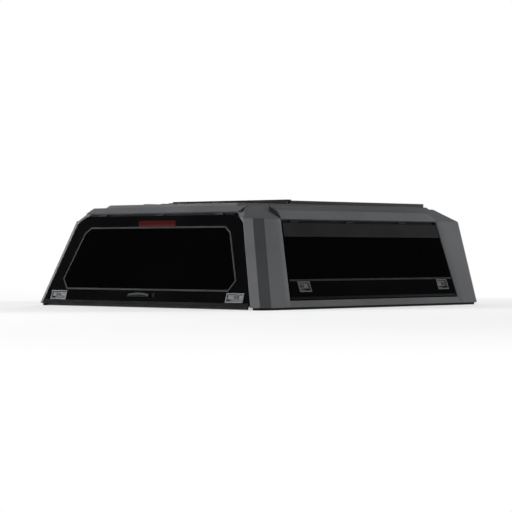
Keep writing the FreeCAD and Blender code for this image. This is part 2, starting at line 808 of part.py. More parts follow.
def make_side_door():
    axis_height, axis_depth = hinge_axis(right, seam_height, side_skin_depth)
    door_top = axis_height - hinge_to_door
    outline = inset(side_opening, door_gap)
    outline = [(u, min(height, door_top)) for u, height in outline]
    holes = []
    trays = []
    paddles = []
    for place in side_latches:
        hole, tray, paddle = make_latch(right, place, side_latch_height, side_latch_size, side_skin_depth)
        holes.append(hole)
        trays.append(tray)
        paddles.append(paddle)
    # The pane lies in a rebate over the door's stiles, with one bead along its foot
    pane = plate(right, side_pane, side_skin_depth, side_skin_depth + glass)
    panel = door_panel(right, outline, side_window, side_skin_depth, holes).cut(pane)
    foot = slice_outline(side_face, side_pane_low - bead_width / 2, side_pane_low + bead_width / 2)
    bead = plate(right, foot, side_skin_depth - bead_rise, side_skin_depth)
    head = slice_outline(side_face, side_pane_high + press_gap, door_top - door_head_gap)
    fixed, moving = knuckles(right, side_hinges, axis_height, axis_depth, side_pocket_depth, door_top)
    inner_face = member_depth * right.rise
    way = inset(side_opening, flange_reach)
    jambs = [way[3][0] - anchor_lap, way[2][0] + anchor_lap]
    tubes, rods, anchors, studs = make_struts(
        right, side_strut_places, jambs, axis_height, axis_depth, inner_face,
        side_skin_depth + door_depth, side_window)
    door = {
        "door_panel": panel,
        "door_head": plate(right, head, side_skin_depth - door_head_rise, side_skin_depth),
        "door_glass": pane,
        "window_bead": bead,
        "latch_trays": Part.makeCompound(trays),
        "door_hardware": Part.makeCompound(moving + studs),
        "rear_paddle": paddles[0],
        "front_paddle": paddles[1],
        "strut_tubes": Part.makeCompound(tubes),
        "strut_rods": Part.makeCompound(rods),
    }
    for name, shape in door.items():
        keep(f"right_{name}", shape)
        keep(f"left_{name}", mirrored(shape))
    return fixed, anchors


def handle_arch(wall_width):
    # Half-moon outline of the handle's hood, open at the foot; a wall width makes it smaller all round.
    low = handle_height - handle_tall / 2
    points = []
    for step in range(handle_steps + 1):
        turn = math.pi * step / handle_steps
        reach = (handle_length / 2 - wall_width) * math.cos(turn)
        rise = (handle_tall - wall_width) * math.sin(turn)
        points.append((handle_centre + reach, low + rise))
    if wall_width:
        points = [(points[0][0], low - cut_over)] + points[1:-1] + [(points[-1][0], low - cut_over)]
    return points


def make_rear_door():
    axis_height, axis_depth = hinge_axis(rear, rear_brow_height, rear_skin_depth)
    door_top = axis_height - hinge_to_door
    window = both(rear_window_half)
    holes = []
    trays = []
    paddles = []
    for place in rear_latches:
        hole, tray, paddle = make_latch(rear, place, rear_latch_height, rear_latch_size, rear_skin_depth)
        holes.append(hole)
        trays.append(tray)
        paddles.append(paddle)
    keep("rear_door_panel", door_panel(rear, rear_door_outline, window, rear_skin_depth, holes))
    keep("rear_door_glass", plate(rear, window, rear_skin_depth, rear_skin_depth + glass))
    bead = plate(rear, inset(window, -bead_width / 2), rear_skin_depth - bead_rise, rear_skin_depth)
    keep("rear_window_bead", bead.cut(plate(rear, inset(window, bead_width / 2), -cut_beyond, inner_depth)))
    keep("rear_latch_trays", Part.makeCompound(trays))
    keep("rear_left_paddle", paddles[0])
    keep("rear_right_paddle", paddles[1])

    light = rectangle(-brake_half, brake_half, (brake_low + brake_high) / 2, brake_high - brake_low)
    lens = inset(light, brake_taper)
    keep("brake_light", tapered_plate(rear, lens, rear_skin_depth - brake_rise, light, rear_skin_depth))

    lip_depth = rear_skin_depth - handle_stand
    hood = plate(rear, handle_arch(0.0), lip_depth, rear_skin_depth)
    hollow = plate(rear, handle_arch(handle_root), lip_depth + handle_plate, rear_skin_depth)
    barrel = Part.makeCylinder(
        lock_radius, lock_rise, rear.at(lock_place, handle_height, rear_skin_depth), rear.out)
    keep("rear_door_handle", Part.makeCompound([hood.cut(hollow), barrel]))

    seal_half, bottom = rear_outline_half[0]
    seal_half -= sill_seal_end_gap
    strip = rectangle(-seal_half, seal_half, (sill_seal_low + bottom) / 2, bottom - sill_seal_low)
    strip_near = rear_skin_depth + sill_seal_near
    keep("rear_door_seal", plate(rear, strip, strip_near, rear_skin_depth + sill_seal_far))

    fixed, moving = knuckles(rear, rear_hinges, axis_height, axis_depth, rear_pocket_depth, door_top)
    jambs = [rear_strut_places[0] - rear_strut_reach, rear_strut_places[1] + rear_strut_reach]
    tubes, rods, anchors, studs = make_struts(
        rear, rear_strut_places, jambs, axis_height, axis_depth, member_depth * rear.rise,
        rear_skin_depth + door_depth, window)
    keep("rear_door_hardware", Part.makeCompound(moving + studs))
    keep("rear_strut_tubes", Part.makeCompound(tubes))
    keep("rear_strut_rods", Part.makeCompound(rods))
    return fixed, anchors


rail, brow, rear_recess = make_shell()
make_roof(rail, brow, rear_recess)
make_base_seal()
side_fixed, side_anchors = make_side_door()
rear_fixed, rear_anchors = make_rear_door()
side_seal = door_seal(right, side_opening, side_pocket_depth, False)
rear_seal = door_seal(rear, rear_pocket, rear_pocket_depth, True)
keep("door_seals", Part.makeCompound([side_seal, mirrored(side_seal), rear_seal]))
keep("hinge_leaves", Part.makeCompound(side_fixed + [mirrored(leaf) for leaf in side_fixed] + rear_fixed))
left_anchors = [mirrored(anchor) for anchor in side_anchors]
keep("strut_anchors", Part.makeCompound(side_anchors + left_anchors + rear_anchors))

os.makedirs("parts", exist_ok=True)
for name, shape in pieces.items():
    litres = shape.Volume / 1e6
    print(f"{name:24s} solids {len(shape.Solids):2d} valid {shape.isValid()} volume {litres:8.3f} l")
    shape.exportStep(f"parts/{name}.step")
whole = Part.makeCompound(list(pieces.values())).BoundBox
print(f"x {whole.XMin:.1f} {whole.XMax:.1f}")
print(f"y {whole.YMin:.1f} {whole.YMax:.1f}")
print(f"z {whole.ZMin:.1f} {whole.ZMax:.1f}")
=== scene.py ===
import bpy
import json
import math
from mathutils import Matrix, Vector

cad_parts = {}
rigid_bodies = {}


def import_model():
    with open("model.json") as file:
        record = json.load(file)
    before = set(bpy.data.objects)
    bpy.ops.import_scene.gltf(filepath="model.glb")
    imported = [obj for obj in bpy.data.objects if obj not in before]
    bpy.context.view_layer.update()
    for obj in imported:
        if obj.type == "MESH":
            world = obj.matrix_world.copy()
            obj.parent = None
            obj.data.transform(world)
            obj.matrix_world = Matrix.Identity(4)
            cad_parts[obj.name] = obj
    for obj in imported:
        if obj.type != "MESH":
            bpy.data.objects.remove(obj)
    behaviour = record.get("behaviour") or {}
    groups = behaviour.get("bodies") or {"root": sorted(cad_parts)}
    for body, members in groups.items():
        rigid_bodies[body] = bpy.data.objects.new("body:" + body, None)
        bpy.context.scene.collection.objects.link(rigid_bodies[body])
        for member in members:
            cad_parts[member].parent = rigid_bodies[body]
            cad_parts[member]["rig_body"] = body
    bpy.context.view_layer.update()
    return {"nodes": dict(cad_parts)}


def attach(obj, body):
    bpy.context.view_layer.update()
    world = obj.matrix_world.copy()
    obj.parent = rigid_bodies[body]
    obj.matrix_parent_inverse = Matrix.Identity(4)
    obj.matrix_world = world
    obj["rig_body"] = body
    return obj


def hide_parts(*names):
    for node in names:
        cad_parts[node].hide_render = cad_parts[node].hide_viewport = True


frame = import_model()
nodes = frame["nodes"]
print("frame loaded,", len(nodes), "nodes")


# Finishes
finishPattern = {
    "cloudDetail": 4, "cloudFrom": 0.42, "cloudTo": 0.68,
    "grainDetail": 3, "grainFrom": 0.3, "grainTo": 0.7, "coatRoughness": 0.05,
}
plainLook = {"stretch": (1, 1, 1), "metallic": 0, "specular": 0.5, "coat": 0, "clear": 0}
mixSockets = {"factor": 0, "first": 6, "second": 7, "result": 2}  # places of the colour sockets


def noiseOn(tree, coords, scale, detail, stretch):
    # a noise pattern on the piece's own coordinates, drawn out along the axes in stretch
    mapping = tree.nodes.new("ShaderNodeMapping")
    mapping.inputs["Scale"].default_value = stretch
    tree.links.new(coords.outputs["Object"], mapping.inputs["Vector"])
    noise = tree.nodes.new("ShaderNodeTexNoise")
    noise.inputs["Scale"].default_value = scale
    noise.inputs["Detail"].default_value = detail
    tree.links.new(mapping.outputs["Vector"], noise.inputs["Vector"])
    return noise


def mixColours(tree, first, second, factor):
    # two colours mixed by a factor that comes from another node
    mix = tree.nodes.new("ShaderNodeMix")
    mix.data_type = "RGBA"
    mix.inputs[mixSockets["first"]].default_value = (*first, 1)
    mix.inputs[mixSockets["second"]].default_value = (*second, 1)
    tree.links.new(factor, mix.inputs[mixSockets["factor"]])
    return mix.outputs[mixSockets["result"]]


def makeFinish(name, settings):
    # paint, metal, rubber or glass, with a cloudy colour, an uneven sheen and a fine grain
    look = {**plainLook, **settings}
    material = bpy.data.materials.new(name)
    material.use_nodes = True
    tree = material.node_tree
    shader = tree.nodes["Principled BSDF"]
    coords = tree.nodes.new("ShaderNodeTexCoord")

    cloud = noiseOn(tree, coords, look["cloudScale"], finishPattern["cloudDetail"], look["stretch"])
    fade = tree.nodes.new("ShaderNodeMapRange")
    fade.inputs["From Min"].default_value = finishPattern["cloudFrom"]
    fade.inputs["From Max"].default_value = finishPattern["cloudTo"]
    tree.links.new(cloud.outputs["Fac"], fade.inputs["Value"])
    tint = mixColours(tree, look["colour"], look["worn"], fade.outputs["Result"])
    tree.links.new(tint, shader.inputs["Base Color"])

    grain = noiseOn(tree, coords, look["grainScale"], finishPattern["grainDetail"], look["stretch"])
    sheen = tree.nodes.new("ShaderNodeMapRange")
    sheen.inputs["From Min"].default_value = finishPattern["grainFrom"]
    sheen.inputs["From Max"].default_value = finishPattern["grainTo"]
    sheen.inputs["To Min"].default_value = look["roughness"][0]
    sheen.inputs["To Max"].default_value = look["roughness"][1]
    tree.links.new(grain.outputs["Fac"], sheen.inputs["Value"])
    tree.links.new(sheen.outputs["Result"], shader.inputs["Roughness"])

    bump = tree.nodes.new("ShaderNodeBump")
    bump.inputs["Strength"].default_value = look["bump"]
    bump.inputs["Distance"].default_value = look["grainDepth"]
    tree.links.new(grain.outputs["Fac"], bump.inputs["Height"])
    tree.links.new(bump.outputs["Normal"], shader.inputs["Normal"])

    shader.inputs["Metallic"].default_value = look["metallic"]
    shader.inputs["Specular IOR Level"].default_value = look["specular"]
    shader.inputs["Coat Weight"].default_value = look["coat"]
    shader.inputs["Coat Roughness"].default_value = finishPattern["coatRoughness"]
    shader.inputs["Transmission Weight"].default_value = look["clear"]
    return material


finishLooks = {
    "powderCoat": {
        "slot": "shell_powder_coat",
        "colour": (0.062, 0.063, 0.066), "worn": (0.074, 0.075, 0.078), "cloudScale": 3.0,
        "grainScale": 900.0, "grainDepth": 0.0005, "bump": 0.30,
        "roughness": (0.42, 0.58), "specular": 0.30,
    },
    "glossCoat": {
        "slot": "door_gloss_coat",
        "colour": (0.0009, 0.0009, 0.0010), "worn": (0.0014, 0.0014, 0.0015), "cloudScale": 4.0,
        "grainScale": 220.0, "grainDepth": 0.0003, "bump": 0.04,
        "roughness": (0.10, 0.16), "specular": 0.11,
    },
    # lighter than the glass and the door's gloss coat: a painted reflection across the top of each
    # side window, on the strip over it
    "headReflectionBand": {
        "slot": "door_head_coat",
        "colour": (0.0090, 0.0092, 0.0095), "worn": (0.0115, 0.0117, 0.0121), "cloudScale": 5.0,
        "grainScale": 600.0, "grainDepth": 0.0003, "bump": 0.12,
        "roughness": (0.42, 0.54), "specular": 0.1,
    },
    "tintedGlass": {
        "slot": "tinted_glass",
        "colour": (0.0002, 0.0002, 0.0003), "worn": (0.0004, 0.0004, 0.0005), "cloudScale": 2.0,
        "grainScale": 30.0, "grainDepth": 0.0004, "bump": 0.01,
        "roughness": (0.02, 0.05), "specular": 0.04, "clear": 0.18,
    },
    "glazingBead": {
        "slot": "window_bead",
        "colour": (0.0125, 0.0127, 0.0132), "worn": (0.0170, 0.0173, 0.0180), "cloudScale": 14.0,
        "grainScale": 500.0, "grainDepth": 0.0003, "bump": 0.12,
        "roughness": (0.34, 0.5), "specular": 0.28,
    },
    "latchMetal": {
        "slot": "latch_metal",
        "colour": (0.096, 0.097, 0.100), "worn": (0.134, 0.135, 0.138), "cloudScale": 40.0,
        "grainScale": 420.0, "grainDepth": 0.0002, "bump": 0.15, "stretch": (1, 1, 6),
        "roughness": (0.34, 0.50), "metallic": 0.45,
    },
    "railBlack": {
        "slot": "rail_black",
        "colour": (0.0210, 0.0218, 0.0236), "worn": (0.0300, 0.0309, 0.0335), "cloudScale": 9.0,
        "grainScale": 700.0, "grainDepth": 0.0002, "bump": 0.12, "stretch": (1, 0.05, 1),
        "roughness": (0.45, 0.60), "specular": 0.12,
    },
    # a darker copy of the rail black for the crossbar and its feet, as painted shade on their
    # rear-facing faces
    "shadedBarBlack": {
        "slot": "rail_black",
        "colour": (0.0055, 0.0057, 0.0062), "worn": (0.0085, 0.0088, 0.0095), "cloudScale": 9.0,
        "grainScale": 700.0, "grainDepth": 0.0002, "bump": 0.12,
        "roughness": (0.45, 0.60), "specular": 0.12,
    },
    "softRubber": {
        "slot": "seal_rubber",
        "colour": (0.0042, 0.0042, 0.0046), "worn": (0.0070, 0.0070, 0.0075), "cloudScale": 18.0,
        "grainScale": 650.0, "grainDepth": 0.0004, "bump": 0.3,
        "roughness": (0.62, 0.8), "specular": 0.2,
    },
    "hingeSteel": {
        "slot": "hinge_steel",
        "colour": (0.0075, 0.0076, 0.0080), "worn": (0.014, 0.0142, 0.0148), "cloudScale": 30.0,
        "grainScale": 380.0, "grainDepth": 0.0003, "bump": 0.15,
        "roughness": (0.36, 0.54), "specular": 0.3,
    },
    "strutBlack": {
        "slot": "strut_black",
        "colour": (0.012, 0.012, 0.013), "worn": (0.02, 0.02, 0.021), "cloudScale": 16.0,
        "grainScale": 300.0, "grainDepth": 0.0002, "bump": 0.05,
        "roughness": (0.24, 0.34), "specular": 0.35,
    },
    "strutChrome": {
        "slot": "strut_rod",
        "colour": (0.55, 0.56, 0.57), "worn": (0.48, 0.49, 0.5), "cloudScale": 25.0,
        "grainScale": 800.0, "grainDepth": 0.0001, "bump": 0.03,
        "roughness": (0.08, 0.16), "metallic": 1.0,
    },
    # satin black of the handle, hems and lock face, darkened as painted shade on the rear handle's
    # face under its lip
    "satinBlack": {
        "slot": "handle_black",
        "colour": (0.0035, 0.0035, 0.0038), "worn": (0.0055, 0.0055, 0.0060), "cloudScale": 20.0,
        "grainScale": 420.0, "grainDepth": 0.0002, "bump": 0.1,
        "roughness": (0.40, 0.52), "specular": 0.15,
    },
    "redLens": {
        "slot": "light_lens",
        "colour": (0.018, 0.0019, 0.0014), "worn": (0.026, 0.0028, 0.0021), "cloudScale": 30.0,
        "grainScale": 90.0, "grainDepth": 0.0005, "bump": 0.2, "stretch": (8, 1, 1),
        "roughness": (0.12, 0.22), "specular": 0.28, "coat": 0.25,
    },
}
finishes = {name: makeFinish(name, look) for name, look in finishLooks.items()}


def finishFor(node):
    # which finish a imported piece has, by its name
    if node.endswith("glass"):
        return "tintedGlass"
    if node.endswith("door_panel"):
        return "glossCoat"
    if node.endswith("door_head"):
        return "headReflectionBand"
    if node.endswith("window_bead") or node == "front_window_frame":
        return "glazingBead"
    if node.endswith("paddle") or node.endswith("latch_trays"):
        return "latchMetal"
    if "seal" in node:
        return "softRubber"
    if node == "brake_light":
        return "redLens"
    if node == "roof_rails":
        return "railBlack"
    if node in ("roof_crossbar", "crossbar_feet"):
        return "shadedBarBlack"
    if node.endswith("hardware") or node in ("hinge_leaves", "strut_anchors"):
        return "hingeSteel"
    if node.endswith("strut_tubes"):
        return "strutBlack"
    if node.endswith("strut_rods"):
        return "strutChrome"
    if node.endswith("handle"):
        return "satinBlack"
    return "powderCoat"


def dress(piece, finish):
    piece.data.materials.clear()
    piece.data.materials.append(finishes[finish])


def handOver(piece, finish, body):
    # a new piece gets its finish and the body it rides on
    dress(piece, finish)
    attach(piece, body)


for nodeName, nodeObject in nodes.items():
    dress(nodeObject, finishFor(nodeName))
print("finishes made,", len(finishes))


# Folded and pressed edges
folding = {
    "mergeWithin": 0.00002, "flatWithin": 1, "anyShape": 180, "roundAbove": 14, "segments": 2,
    "smoothBelow": 40, "faceWeight": 100,
}
foldWidths = {
    "roof_panel": 0.0016, "rear_header": 0.0016, "front_panel": 0.0016,
    "left_rear_post": 0.0014, "right_rear_post": 0.0014,
    "left_front_post": 0.0014, "right_front_post": 0.0014,
    "left_top_rail": 0.0014, "right_top_rail": 0.0014,
    "left_bottom_rail": 0.0014, "right_bottom_rail": 0.0014,
    "roof_crossbar": 0.002, "crossbar_feet": 0.002, "roof_rails": 0.0008,
    "rear_door_panel": 0.0012, "left_door_panel": 0.0012, "right_door_panel": 0.0012,
    "left_door_head": 0.0005, "right_door_head": 0.0005,
    "rear_door_handle": 0.0008, "brake_light": 0.0008,
    "rear_window_bead": 0.0008, "left_window_bead": 0.0007, "right_window_bead": 0.0007,
    "front_window_frame": 0.0016, "rear_latch_trays": 0.0005, "left_latch_trays": 0.0005,
    "right_latch_trays": 0.0005, "base_seal": 0.002,
    "rear_left_paddle": 0.0007, "rear_right_paddle": 0.0007,
    "left_rear_paddle": 0.0007, "left_front_paddle": 0.0007,
    "right_rear_paddle": 0.0007, "right_front_paddle": 0.0007,
}


def editMesh(piece):
    bpy.ops.object.select_all(action="DESELECT")
    bpy.context.view_layer.objects.active = piece
    piece.select_set(True)
    bpy.ops.object.mode_set(mode="EDIT")
    bpy.ops.mesh.select_all(action="SELECT")


def leaveEdit():
    bpy.ops.object.mode_set(mode="OBJECT")
    bpy.ops.object.select_all(action="DESELECT")


def roundEdges(node, width):
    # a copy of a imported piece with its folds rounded, shown in its place
    piece = bpy.data.objects.new(node + "_folded", nodes[node].data.copy())
    bpy.context.scene.collection.objects.link(piece)
    editMesh(piece)
    bpy.ops.mesh.customdata_custom_splitnormals_clear()
    bpy.ops.mesh.remove_doubles(threshold=folding["mergeWithin"])
    bpy.ops.mesh.tris_convert_to_quads(
        face_threshold=math.radians(folding["flatWithin"]),
        shape_threshold=math.radians(folding["anyShape"]),
    )
    bpy.ops.mesh.normals_make_consistent(inside=False)
    leaveEdit()
    bpy.context.view_layer.objects.active = piece
    piece.select_set(True)
    fold = piece.modifiers.new("fold", "BEVEL")
    fold.width = width
    fold.segments = folding["segments"]
    fold.limit_method = "ANGLE"
    fold.angle_limit = math.radians(folding["roundAbove"])
    bpy.ops.object.modifier_apply(modifier="fold")
    bpy.ops.object.shade_smooth_by_angle(angle=math.radians(folding["smoothBelow"]))
    flat = piece.modifiers.new("flat", "WEIGHTED_NORMAL")  # keeps the large faces looking flat
    flat.mode = "FACE_AREA"
    flat.weight = folding["faceWeight"]
    flat.keep_sharp = True
    bpy.ops.object.modifier_apply(modifier="flat")
    piece.select_set(False)
    handOver(piece, finishFor(node), nodes[node]["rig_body"])
    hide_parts(node)


for nodeName, foldWidth in foldWidths.items():
    roundEdges(nodeName, foldWidth)
print("folded edges made,", len(foldWidths))


# Small pieces, each shaped flat on the ground and then set on its leaning face
walls = {
    "rear": {"foot": (0, -0.914116, 0.012), "turn": 0.0, "lean": 15.35},
    "right": {"foot": (0.8225, -0.019116, 0.012), "turn": 90.0, "lean": 19.85},
    "left": {"foot": (-0.8225, -0.019116, 0.012), "turn": 270.0, "lean": 19.85},
}
shaping = {
    "facingUp": 0.99, "facingEnds": 0.9, "edgeSegments": 3, "rollAbove": 40, "smoothBelow": 35,
    "mergeWithin": 0.00002,
}


def onWall(wall, along, height, depth):
    # a place on a leaning face: X along it to the right, Y up it and Z out of it
    settings = walls[wall]
    lean = math.radians(settings["lean"])
    turned = Matrix.Rotation(math.radians(settings["turn"]), 4, "Z")
    tipped = Matrix.Rotation(math.radians(90) - lean, 4, "X")
    offset = Matrix.Translation((along, height / math.cos(lean), -depth))
    return Matrix.Translation(settings["foot"]) @ turned @ tipped @ offset


def startShaping(name):
    # the primitive just added, in edit mode with nothing selected
    piece = bpy.context.object
    piece.name = name
    bpy.ops.object.mode_set(mode="EDIT")
    bpy.ops.mesh.select_mode(type="FACE")
    bpy.ops.mesh.select_all(action="DESELECT")
    return piece


def startBlock(name, width, tall, deep):
    bpy.ops.object.select_all(action="DESELECT")
    bpy.ops.mesh.primitive_cube_add(size=1, location=(0, 0, 0))
    piece = startShaping(name)
    bpy.ops.mesh.select_all(action="SELECT")
    bpy.ops.transform.resize(value=(width, tall, deep), center_override=(0, 0, 0))
    return piece


def startRound(name, sides, radius, tall):
    bpy.ops.object.select_all(action="DESELECT")
    bpy.ops.mesh.primitive_cylinder_add(
        vertices=sides, radius=radius, depth=tall, location=(0, 0, tall / 2)
    )
    return startShaping(name)


def pickFaces(piece, test):
    bpy.ops.mesh.select_all(action="DESELECT")
    bpy.ops.object.mode_set(mode="OBJECT")
    for face in piece.data.polygons:
        face.select = test(face)
    bpy.ops.object.mode_set(mode="EDIT")


def facesUp(face):
    return face.normal.z > shaping["facingUp"]


def atEnds(face):
    return abs(face.normal.z) > shaping["facingEnds"]


def rollEdges(piece, width):
    # every sharp edge rolled over
    bpy.context.view_layer.objects.active = piece
    rolled = piece.modifiers.new("rolled", "BEVEL")
    rolled.width = width
    rolled.segments = shaping["edgeSegments"]
    rolled.limit_method = "ANGLE"
    rolled.angle_limit = math.radians(shaping["rollAbove"])
    bpy.ops.object.modifier_apply(modifier="rolled")


def modelStrip(name, width, tall, deep, edge):
    # a flat strip whose face is rounded over at its edges
    piece = startBlock(name, width, tall, deep)
    pickFaces(piece, facesUp)
    bpy.ops.mesh.bevel(offset=edge, segments=shaping["edgeSegments"], affect="EDGES")
    leaveEdit()
    return piece


def modelWedge(name, width, tall, deep, crest):
    # a bar whose face falls away from a narrow crest along its lower edge
    piece = startBlock(name, width, tall, deep)
    pickFaces(piece, facesUp)
    bpy.ops.transform.resize(value=(1, crest, 1), center_override=(0, -tall / 2, 0))
    leaveEdit()
    return piece


lockShape = {
    "sides": 40, "edge": 0.22, "rim": 0.16, "step": 0.04, "sink": 0.25, "plug": 0.22,
    "slotWidth": 0.22, "slotDeep": 0.4,
}


def modelLock(name, radius, rise):
    # a round lock face with a raised rim and a key slot
    piece = startRound(name, lockShape["sides"], radius, rise)
    pickFaces(piece, facesUp)
    bpy.ops.mesh.bevel(
        offset=rise * lockShape["edge"], segments=shaping["edgeSegments"], affect="EDGES"
    )
    pickFaces(piece, facesUp)
    bpy.ops.mesh.inset(thickness=radius * lockShape["rim"])
    bpy.ops.mesh.inset(thickness=radius * lockShape["step"], depth=-rise * lockShape["sink"])
    bpy.ops.mesh.inset(thickness=radius * lockShape["plug"])
    floor = (0, 0, rise * (1 - lockShape["sink"]))
    bpy.ops.transform.resize(value=(lockShape["slotWidth"], 1.0, 1.0), center_override=floor)
    inward = (0, 0, -rise * lockShape["slotDeep"])
    bpy.ops.mesh.extrude_region_move(TRANSFORM_OT_translate={"value": inward})
    leaveEdit()
    return piece


screwShape = {"sides": 24, "edge": 0.35, "rim": 0.3, "step": 0.05, "sink": 0.6}


def modelScrew(name, radius, rise):
    # a round screw head with a round socket
    piece = startRound(name, screwShape["sides"], radius, rise)
    pickFaces(piece, facesUp)
    bpy.ops.mesh.bevel(
        offset=rise * screwShape["edge"], segments=shaping["edgeSegments"], affect="EDGES"
    )
    pickFaces(piece, facesUp)
    bpy.ops.mesh.inset(thickness=radius * screwShape["rim"])
    bpy.ops.mesh.inset(thickness=radius * screwShape["step"], depth=-rise * screwShape["sink"])
    leaveEdit()
    return piece


def copyTo(piece, name, place):
    # a copy with its own mesh, set at its place
    copy = piece.copy()
    copy.data = piece.data.copy()
    copy.name = name
    bpy.context.scene.collection.objects.link(copy)
    copy.matrix_world = place
    return copy


def joinPieces(copies, name, finish, body):
    # copies become one piece, with its place in its mesh
    bpy.ops.object.select_all(action="DESELECT")
    for copy in copies:
        copy.select_set(True)
    bpy.context.view_layer.objects.active = copies[0]
    bpy.ops.object.transform_apply(location=True, rotation=True, scale=True)
    if len(copies) > 1:
        bpy.ops.object.join()
    piece = bpy.context.view_layer.objects.active
    piece.name = name
    piece.data.name = name
    bpy.ops.object.shade_smooth_by_angle(angle=math.radians(shaping["smoothBelow"]))
    bpy.ops.object.select_all(action="DESELECT")
    handOver(piece, finish, body)


# Latches: a bevel inside each tray, and a dark inlay with a lock in each paddle
latchShapes = {
    "rear": {
        "door": "rear_door", "low": 0.0290, "high": 0.0650, "half": 0.0535, "skin": 0.002,
        "face": 0.0512, "aside": 0.008, "inlay": (0.034, 0.0136),
    },
    "right": {
        "door": "right_door", "low": 0.0815, "high": 0.1225, "half": 0.0395, "skin": 0.007,
        "face": 0.1062, "aside": 0.014, "inlay": (0.030, 0.0170),
    },
}
latchShapes["left"] = {**latchShapes["right"], "door": "left_door"}
latchPlaces = {
    "right_rear_latch": ("right", -0.527), "right_front_latch": ("right", 0.590),
    "left_rear_latch": ("left", 0.527), "left_front_latch": ("left", -0.590),
    "rear_left_latch": ("rear", -0.635), "rear_right_latch": ("rear", 0.635),
}
trayBevel = {"clear": 0.0002, "lead": 0.0010, "deep": 0.0064, "width": 0.0040, "crest": 0.06}
inlay = {"deep": 0.0009, "edge": 0.0003, "sink": 0.0040}
paddleLock = {"radius": 0.0060, "rise": 0.0026}
handleLock = {"along": 0.075, "height": 0.053, "depth": -0.002, "radius": 0.0082, "rise": 0.0022}


def modelTrayBevel(wall, along):
    # sloping strips along the foot and both sides of a tray, clear of the paddle and finger gap
    shape = latchShapes[wall]
    depth = shape["skin"] - trayBevel["lead"] + trayBevel["deep"] / 2
    middle = (shape["low"] + shape["high"]) / 2
    inward = trayBevel["clear"] + trayBevel["width"] / 2
    rise = (shape["high"] - shape["low"]) / math.cos(math.radians(walls[wall]["lean"]))
    runs = [
        (2 * shape["half"], along, shape["low"], 0),
        (rise, along - shape["half"], middle, -90),
        (rise, along + shape["half"], middle, 90),
    ]
    parts = []
    for length, across, height, turn in runs:
        clearLength = length - 2 * trayBevel["clear"]
        bar = modelWedge(
            "bar", clearLength, trayBevel["width"], trayBevel["deep"], trayBevel["crest"]
        )
        turned = Matrix.Rotation(math.radians(turn), 4, "Z")
        place = onWall(wall, across, height, depth) @ turned
        bar.matrix_world = place @ Matrix.Translation((0, inward, 0))
        parts.append(bar)
    return parts


bevels = {wall: [] for wall in walls}
lockPattern = modelLock("lock_pattern", paddleLock["radius"], paddleLock["rise"])
for body, (wall, along) in latchPlaces.items():
    shape = latchShapes[wall]
    bevels[wall] += modelTrayBevel(wall, along)
    centre = along + math.copysign(shape["aside"], along)
    lockDepth = shape["skin"] + inlay["sink"]
    lock = copyTo(lockPattern, body + "_lock", onWall(wall, centre, shape["face"], lockDepth))
    joinPieces([lock], body + "_lock", "latchMetal", body)
    strip = modelStrip(body + "_inlay", *shape["inlay"], inlay["deep"], inlay["edge"])
    strip.matrix_world = onWall(wall, centre, shape["face"], lockDepth - inlay["deep"] / 2)
    joinPieces([strip], body + "_inlay", "railBlack", body)
bpy.data.objects.remove(lockPattern)
for wall, parts in bevels.items():
    joinPieces(parts, wall + "_tray_bevels", "latchMetal", latchShapes[wall]["door"])
lockFace = modelLock("rear_lock_face", handleLock["radius"], handleLock["rise"])
lockFace.matrix_world = onWall(
    "rear", handleLock["along"], handleLock["height"], handleLock["depth"]
)
joinPieces([lockFace], "rear_lock_face", "satinBlack", "rear_door")
print("tray bevels, inlays and locks made")


# Strips along the foot of each door, and dark strips in the gap over it as painted shade
hems = {
    "rear_door": {"wall": "rear", "along": 0.0, "height": 0.0165, "depth": 0.0014, "width": 1.466},
    "right_door": {"wall": "right", "along": 0.016, "height": 0.0465, "depth": 0.0064, "width": 1.328},
    "left_door": {"wall": "left", "along": -0.016, "height": 0.0465, "depth": 0.0064, "width": 1.328},
}
hemShape = {"tall": 0.012, "deep": 0.0012, "edge": 0.0004}
for body, hem in hems.items():
    strip = modelStrip(
        body + "_hem", hem["width"], hemShape["tall"], hemShape["deep"], hemShape["edge"]
    )
    strip.matrix_world = onWall(hem["wall"], hem["along"], hem["height"], hem["depth"])
    joinPieces([strip], body + "_hem", "satinBlack", body)

# dark rubber-finish strips laid in the gap above each door: painted shade where that gap falls in
# shadow
gapShadeStrips = {
    "rear": {
        "height": 0.4652, "depth": 0.0165,
        "spans": [(-0.520, -0.440), (-0.400, -0.020), (0.020, 0.400), (0.440, 0.520)],
    },
    "right": {
        "height": 0.4302, "depth": 0.0215,
        "spans": [(-0.556, -0.490), (-0.450, -0.060), (-0.020, 0.370), (0.410, 0.672)],
    },
    "left": {
        "height": 0.4302, "depth": 0.0215,
        "spans": [(-0.672, -0.410), (-0.370, 0.020), (0.060, 0.450), (0.490, 0.556)],
    },
}
gapShadeShape = {"tall": 0.013, "deep": 0.003, "edge": 0.0009}
for wall, gapShade in gapShadeStrips.items():
    name = wall + "_gap_shade_strips"
    lengths = []
    for low, high in gapShade["spans"]:
        strip = modelStrip(
            name, high - low, gapShadeShape["tall"], gapShadeShape["deep"], gapShadeShape["edge"]
        )
        strip.matrix_world = onWall(wall, (low + high) / 2, gapShade["height"], gapShade["depth"])
        lengths.append(strip)
    joinPieces(lengths, name, "softRubber", "shell")
print("hems and gap shade strips made")


# Lip along the arch of the rear handle, lighter than the handle, as a painted highlight along the top
# of the arch
handleHighlightLip = {
    "along": -0.027, "low": 0.0505, "depth": -0.0094, "half": 0.073, "rise": 0.008,
    "width": 0.0098, "deep": 0.0016, "steps": 28, "roll": 0.35,
}


